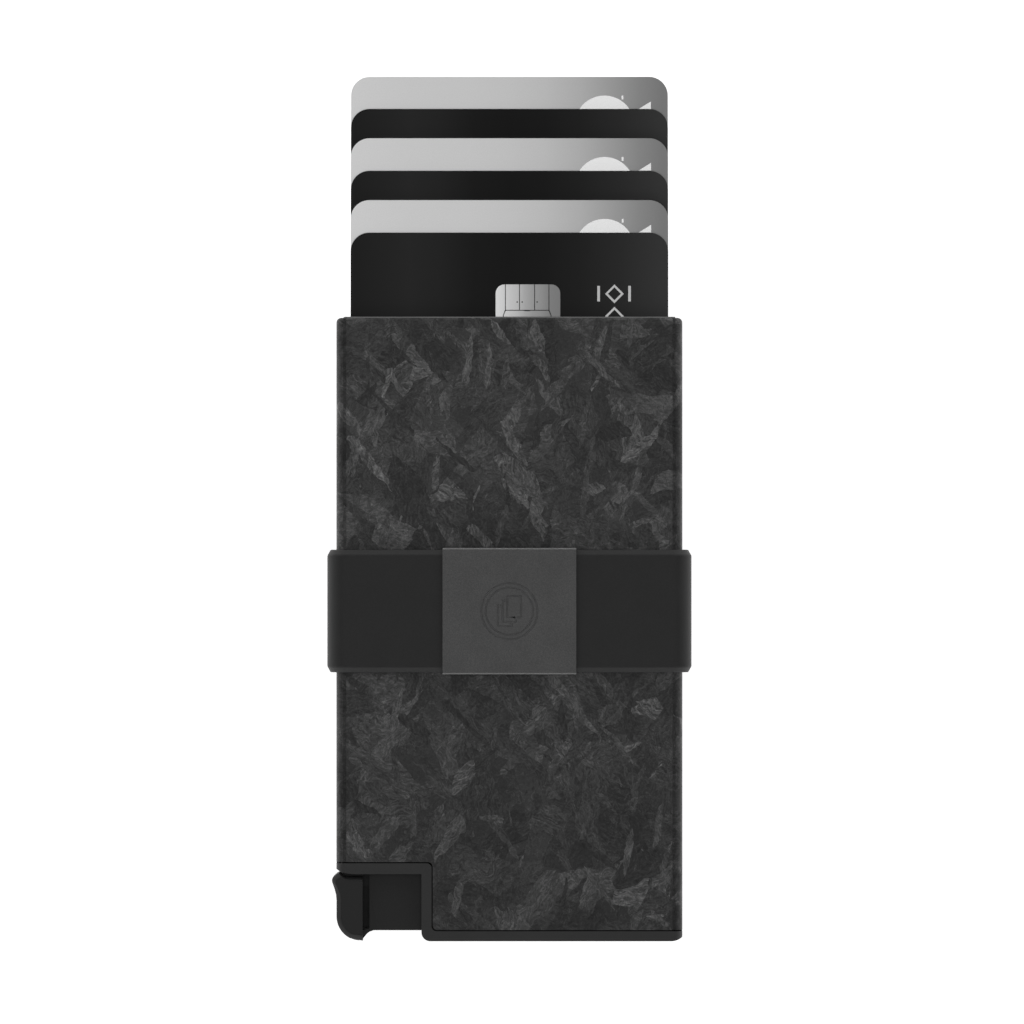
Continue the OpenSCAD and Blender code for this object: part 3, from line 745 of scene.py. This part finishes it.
# Back and front of the lever's web, and a box round the CAD lever's pad
WEB_LEVELS = (3.46, 7.84)
PAD_BOX = (-33, -58, -44)
# The thumb pad's straight right side, its ends, and the arc of its lower left corner
PAD_RIGHT = -24.93
PAD_TOP = -45.1
PAD_TIP = -56.03
PAD_ROUND = (-25.26, -51.9)
PAD_ROUND_RADIUS = 4.125
PAD_ROUND_END = 244
# The pad's left side is straight down to here
PAD_STRAIGHT_END = -49.21
# The nose is drawn in towards this point
PAD_HEART = (-26.6, -48.4)
# Kept between faces that would otherwise coincide
SLIVER = 0.005
# The bevel's profile from the pad's face outwards: how far in, and how far below the face
PAD_PROFILE = [(1.0, 0.0), (0.84, 0.03), (0.70, 0.10), (0.16, 0.50), (0.05, 0.62), (0.0, 0.80)]
PAD_NOSE = [
    (-27.8, -45.05), (-28.25, -44.88), (-28.6, -44.58), (-28.95, -44.46), (-29.3, -44.63),
    (-29.63, -44.88), (-29.9, -45.15), (-30.1, -45.45), (-30.17, -45.74), (-30.12, -46.08),
    (-29.95, -46.55), (-29.71, -47.25), (-29.46, -48.19),
]
# Closes the web under the nose
NOSE_FILL = [(-28.6, -46.0), (-27.9, -46.0), (-27.9, -44.45), (-28.6, -44.6)]
# The groove beside the pad: width, ends, where the deeper stretch starts, and both depths
GROOVE_WIDTH = 1.13
GROOVE_ENDS = (-53.95, -44.5)
DEEP_GROOVE_TOP = -46.9
GROOVE_DEPTHS = (1.65, 2.5)


def pad_outline(inset):
    """The thumb pad from the front, with its free sides drawn in."""
    points = [(PAD_RIGHT, PAD_TOP - inset + SLIVER)]
    for x, y in PAD_NOSE:
        away = Vector((x - PAD_HEART[0], y - PAD_HEART[1]))
        away *= 1 + (SLIVER - inset) / away.length
        points.append((PAD_HEART[0] + away.x, PAD_HEART[1] + away.y))
    radius = PAD_ROUND_RADIUS - inset
    points.append((PAD_ROUND[0] - radius, PAD_STRAIGHT_END))
    points += arc(*PAD_ROUND, radius, 180, PAD_ROUND_END, 14)
    points.append((PAD_RIGHT, PAD_TIP + 1.1 * inset))
    return points


def pad_solid():
    """The thumb pad with a broad soft bevel on its free edges."""
    low, high = box_mm("trigger_lever")
    sections = [(pad_outline(inset), low.z + drop) for inset, drop in PAD_PROFILE]
    sections += [(pad_outline(inset), high.z - drop) for inset, drop in PAD_PROFILE[::-1]]
    return loft(sections)


# Radius of each node's edges, in millimetres
EDGE = {
    "carbon_shell": 0.09, "aluminium_liner": 0.06, "end_cap": 0.10, "elastic_strap": 0.10,
    "strap_plate": 0.05, "trigger_lever": 0.05, "ejector_arm": 0.10, "pivot_pin": 0.06,
    "lever_rivet_inner": 0.06, "lever_rivet_outer": 0.06, "return_spring": 0.01,
    "felt_strip_left": 0.12, "felt_strip_right": 0.12, "card": 0.04,
}


def lever():
    """The trigger lever: the stepped pad gives way to a rolled one with a deep groove."""
    low, high = box_mm("trigger_lever")
    web_low, web_high = WEB_LEVELS
    left, bottom, top = PAD_BOX
    pad = rectangle(left, PAD_RIGHT, bottom, top)
    skin = 0.02
    cuts = [
        slab([pad], web_high + skin, high.z + 1), slab([pad], low.z - 1, web_low - skin)]
    for end, depth in zip((GROOVE_ENDS[1], DEEP_GROOVE_TOP), GROOVE_DEPTHS):
        groove = rectangle(PAD_RIGHT, PAD_RIGHT + GROOVE_WIDTH, GROOVE_ENDS[0], end)
        cuts.append(slab([groove], web_high - depth, high.z + 1))
    adds = [pad_solid(), slab([NOSE_FILL], web_low, web_high)]
    refined("trigger_lever", EDGE["trigger_lever"], cuts=cuts, adds=adds)


def sleeve_parts():
    """Every CAD node but the chips, in its finer form."""
    refined(
        "carbon_shell", EDGE["carbon_shell"], adjust=opened_parting, cuts=rim_grooves())
    refined("aluminium_liner", EDGE["aluminium_liner"], adjust=liner_lip)
    refined("end_cap", EDGE["end_cap"], 3)
    refined("elastic_strap", EDGE["elastic_strap"], 3, 20)
    refined("strap_plate", EDGE["strap_plate"], 2, 60, adjust=tight_fold)
    lever()
    for node in ("ejector_arm", "pivot_pin", "lever_rivet_inner", "lever_rivet_outer"):
        refined(node, EDGE[node])
    refined("return_spring", EDGE["return_spring"], 1, 60)
    for node in ("felt_strip_left", "felt_strip_right"):
        refined(node, EDGE[node])
    for i in range(1, CARD_COUNT + 1):
        refined(f"card_{i}", EDGE["card"])


# ---------- card faces ----------


def stroke(points, width):
    """Outline of a mitred line through points."""
    left, right = [], []
    for i, (x, y) in enumerate(points):
        before, after = points[max(i - 1, 0)], points[min(i + 1, len(points) - 1)]
        d1 = Vector((x - before[0], y - before[1]))
        d2 = Vector((after[0] - x, after[1] - y))
        d = (d1.normalized() if d1.length else Vector((0, 0))) + (
            d2.normalized() if d2.length else Vector((0, 0)))
        d.normalize()
        side = Vector((-d.y, d.x))
        single = d1 if d1.length else d2
        across = Vector((-single.y, single.x)).normalized()
        reach = width / 2 / max(side.dot(across), 0.4)
        left.append((x + side.x * reach, y + side.y * reach))
        right.append((x - side.x * reach, y - side.y * reach))
    return left + right[::-1]


# Half sizes and corner radius of the chip, all measured from its middle
CHIP_HALF = (5.5, 5.95)
CHIP_CORNER = 1.5
# Gaps between the contacts: their places on X, the middle one's place on Y, and their width
CHIP_LINES = (-3.83, -1.43, 1.14, 3.57)
CHIP_MIDDLE = 1.55
CHIP_GAP = 0.13
# The outer contacts' inner side, and the middle contact's waist
CHIP_WAIST_OUT = 0.42
CHIP_WAIST_IN = 0.28
CHIP_WAIST_HALF = 0.7
CHIP_DOTS = [(-1.83, 2.96), (-0.98, 2.96), (1.56, 2.96)]
CHIP_DOT_RADIUS = 0.13


def chip_contacts():
    """Outlines of the chip's contact areas round its middle."""
    w, h = CHIP_HALF
    r, g, mid, waist = CHIP_CORNER, CHIP_GAP / 2, CHIP_MIDDLE, CHIP_WAIST_HALF
    l1, l2, l3, l4 = CHIP_LINES
    out_1, out_4 = l1 - CHIP_WAIST_OUT, l4 + CHIP_WAIST_OUT
    in_1, in_4 = l1 - CHIP_WAIST_IN, l4 + CHIP_WAIST_IN
    left = (
        arc(-w + r, h - r, r, 180, 90, 6) + [(l1 - g, h), (l1 - g, mid + 0.1)]
        + [(out_1, waist), (out_1, -waist), (l1 - g, -mid - 0.1), (l1 - g, -h)]
        + arc(-w + r, -h + r, r, 270, 180, 6))
    right = (
        arc(w - r, h - r, r, 0, 90, 6) + [(l4 + g, h), (l4 + g, mid + 0.1)]
        + [(out_4, waist), (out_4, -waist), (l4 + g, -mid - 0.1), (l4 + g, -h)]
        + arc(w - r, -h + r, r, 270, 360, 6))
    out = [left[::-1], right]
    for a, b in ((l1, l2), (l2, l3), (l3, l4)):
        out.append([(a + g, mid + g), (b - g, mid + g), (b - g, h), (a + g, h)])
        out.append([(a + g, -h), (b - g, -h), (b - g, -mid - g), (a + g, -mid - g)])
    out.append([
        (l1 + 0.15, -mid + g), (l4 - 0.15, -mid + g), (l4 + 0.02, -mid + 0.2),
        (in_4, -waist), (in_4, waist), (l4 + 0.02, mid - 0.2), (l4 - 0.15, mid - g),
        (0.45, mid - g), (0.2, mid - g - 0.09), (-0.5, mid - g - 0.09), (-0.75, mid - g),
        (l1 + 0.15, mid - g), (l1 - 0.02, mid - 0.2), (in_1, waist), (in_1, -waist),
        (l1 - 0.02, -mid + 0.2)])
    return out


def card_frame(i):
    """Middle of a card's top edge and its front and back level, in millimetres."""
    low, high = box_mm(f"card_{i}")
    return (low.x + high.x) / 2, high.y, low.z, high.z


def add_chip(i):
    """The chip's dark base, its contacts just proud of the card, and three dots on them."""
    _, _, _, front = card_frame(i)
    node = f"chip_{i}"
    low, high = box_mm(node)
    cx, cy = (low.x + high.x) / 2, (low.y + high.y) / 2
    w, h = CHIP_HALF
    r = CHIP_CORNER
    outline = (
        arc(cx + w - r, cy + h - r, r, 0, 90, 6) + arc(cx - w + r, cy + h - r, r, 90, 180, 6)
        + arc(cx - w + r, cy - h + r, r, 180, 270, 6)
        + arc(cx + w - r, cy - h + r, r, 270, 360, 6))
    verts, faces = slab([outline], low.z, front - 0.03)
    base = mesh_object(
        f"{node}_base", verts, faces, node, material="chip_gap", replaces=(node,))
    smooth(base)
    moved = [[(x + cx, y + cy) for x, y in shape] for shape in chip_contacts()]
    verts, faces = slab(moved, front - 0.05, front + 0.012)
    contacts = mesh_object(f"{node}_contacts", verts, faces, node)
    bevel(contacts, 0.012, 1)
    dots = [arc(cx + x, cy + y, CHIP_DOT_RADIUS, 0, 330, 11) for x, y in CHIP_DOTS]
    verts, faces = slab(dots, front, front + 0.018)
    mesh_object(f"{node}_dots", verts, faces, node, material="chip_gap")


def diamond(cx, cy, half, width):
    """Outlines of a diamond's four sides."""
    corners = [(cx, cy + half), (cx + half, cy), (cx, cy - half), (cx - half, cy)]
    inner = [(cx + (x - cx) * (1 - width / half), cy + (y - cy) * (1 - width / half))
             for x, y in corners]
    return [
        [corners[k], inner[k], inner[(k + 1) % 4], corners[(k + 1) % 4]] for k in range(4)]


# Places below are from the middle of a card's top edge: right, then down
PRINT_LEVELS = (-0.01, 0.016)
BARS_AT = (15.16, 20.42)
BAR_ENDS = (9.05, 11.7)
BAR_WIDTH = 0.46
DIAMOND_AT = (17.85, 10.4)
DIAMOND_STEP = 3.8
DIAMOND_HALF, DIAMOND_WIDTH = 1.6, 0.5
DISC_AT = (16.18, 8.3)
DISC_RADIUS = 5.1
TICK_AT = 19.26
TICK_ENDS = (3.2, 3.85)
TICK_WIDTH = 0.32
WEDGE_SIDES = (22.0, 24.1)
WEDGE_FROM, WEDGE_STEP = 4.0, 2.6
WEDGE_ENDS = (1.5, 0.2)


def add_marks(i):
    """Plain printed ornaments: bars and diamonds on black, a disc and wedges on silver."""
    node = f"card_{i}"
    x, top, _, front = card_frame(i)
    low, high = front + PRINT_LEVELS[0], front + PRINT_LEVELS[1]
    if i % 2:
        shapes = [
            stroke([(x + at, top - end) for end in BAR_ENDS], BAR_WIDTH) for at in BARS_AT]
        verts, faces = slab(shapes, low, high)
        mesh_object(f"{node}_bars", verts, faces, node, material="print_silver")
        for k in range(3):
            cx, cy = x + DIAMOND_AT[0], top - DIAMOND_AT[1] - DIAMOND_STEP * k
            verts, faces = slab(diamond(cx, cy, DIAMOND_HALF, DIAMOND_WIDTH), low, high)
            mesh_object(f"{node}_diamond_{k + 1}", verts, faces, node, material="print_silver")
        return
    disc = arc(x + DISC_AT[0], top - DISC_AT[1], DISC_RADIUS, 0, 357, 119)
    verts, faces = slab([disc], low, high)
    mesh_object(f"{node}_disc", verts, faces, node, material="print_white")
    shapes = [stroke([(x + TICK_AT, top - end) for end in TICK_ENDS], TICK_WIDTH)]
    left, right = (x + side for side in WEDGE_SIDES)
    for k in range(5):
        at = top - WEDGE_FROM - WEDGE_STEP * k
        foot, tip = at - WEDGE_ENDS[0], at - WEDGE_ENDS[1]
        shapes.append([(left, foot), (right, foot), (right, tip)])
    verts, faces = slab(shapes, low, high)
    mesh_object(f"{node}_wedges", verts, faces, node, material="print_white")


BACK_LEVELS = (-0.012, 0.01)
STRIPE_SIDES = (-22.9, -10.2)
PANEL_SIDES = (-0.6, 8.6)
PANEL_ENDS = (10.4, 62)
PANEL_CORNER = 0.6


def add_card_back(i):
    """Magnetic stripe and signature panel on the back."""
    node = f"card_{i}"
    x, top, back, _ = card_frame(i)
    bottom = box_mm(node)[0].y
    low, high = back + BACK_LEVELS[0], back + BACK_LEVELS[1]
    stripe = rectangle(x + STRIPE_SIDES[0], x + STRIPE_SIDES[1], bottom, top)
    verts, faces = slab([stripe], low, high)
    mesh_object(f"{node}_stripe", verts, faces, node, material="stripe_black")
    r = PANEL_CORNER
    left, right = x + PANEL_SIDES[0], x + PANEL_SIDES[1]
    upper, lower = top - PANEL_ENDS[0], top - PANEL_ENDS[1]
    panel = (
        arc(left, upper, r, 90, 180, 4) + arc(left, lower, r, 180, 270, 4)
        + arc(right, lower, r, 270, 360, 4) + arc(right, upper, r, 0, 90, 4))
    verts, faces = slab([panel], low, high)
    mesh_object(f"{node}_panel", verts, faces, node, material="print_grey")


def card_details():
    """Everything that is on the cards."""
    for i in range(1, CARD_COUNT + 1):
        add_chip(i)
        add_marks(i)
        add_card_back(i)


make_camera()
make_world()
make_floor()
area_light("softbox", SOFTBOX_AT, SOFTBOX_AIM, SOFTBOX_SIZE, SOFTBOX_POWER)
sleeve_parts()
card_details()

bpy.context.scene.view_settings.view_transform = "Standard"
